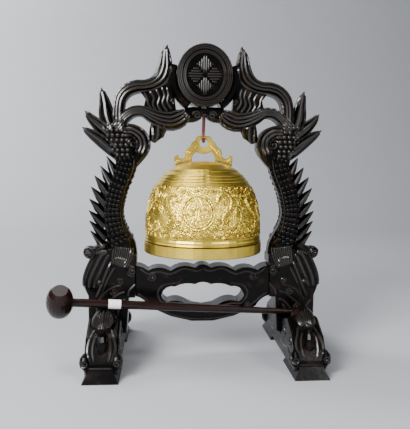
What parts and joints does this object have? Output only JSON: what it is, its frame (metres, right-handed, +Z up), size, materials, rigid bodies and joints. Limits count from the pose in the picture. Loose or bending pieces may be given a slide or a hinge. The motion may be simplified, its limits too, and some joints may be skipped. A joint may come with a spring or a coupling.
{
  "type": "temple bell on a carved stand",
  "caption": "Brass temple bell hung by a hook in a black carved dragon stand with a scalloped rail, two scrolled feet and a loose wooden mallet.",
  "frame": {"origin": "on the floor, on the stand's middle plane, midway between the two feet and in the middle of the boards' thickness", "axes": "+Z up, +X from the left upright to the right one as seen from the front, the stand's front faces -Y"},
  "size_m": [0.3406, 0.212, 0.3928],
  "materials": {
    "black_wood": "black lacquer, satin",
    "bell_brass": "cast, satin",
    "brown_hook": "browned",
    "plain_steel": "plain",
    "mallet_wood": "dark red-brown lacquer"
  },
  "bodies": {
    "stand": {"left_upright": "black_wood", "right_upright": "black_wood", "medallion": "black_wood", "medallion_dowel_left": "black_wood", "medallion_dowel_right": "black_wood", "cross_rail": "black_wood", "rail_peg_left": "black_wood", "rail_peg_right": "black_wood", "left_foot": "black_wood", "right_foot": "black_wood", "left_foot_screw_left": "plain_steel", "left_foot_screw_right": "plain_steel", "right_foot_screw_left": "plain_steel", "right_foot_screw_right": "plain_steel", "hook_pin": "plain_steel"},
    "hook": {"bell_hook": "brown_hook"},
    "bell": {"bell_shell": "bell_brass", "bell_crown": "bell_brass", "crown_screw_left": "bell_brass", "crown_screw_right": "bell_brass"},
    "mallet": {"mallet_handle": "mallet_wood", "mallet_head": "mallet_wood"}
  },
  "joints": [
    {"name": "hook_swing", "type": "hinge", "parent": "stand", "child": "hook", "pos_m": [0, 0, 0.30835], "axis": [1, 0, 0], "range_deg": [-15, 15]},
    {"name": "bell_sway", "type": "hinge", "parent": "hook", "child": "bell", "pos_m": [0, 0, 0.27415], "axis": [0, 1, 0], "range_deg": [-2.5, 2.5]},
    {"name": "mallet_lift", "type": "slide", "parent": "stand", "child": "mallet", "axis": [0, -0.6, 0.8], "range_m": [0, 0.045]}
  ]
}
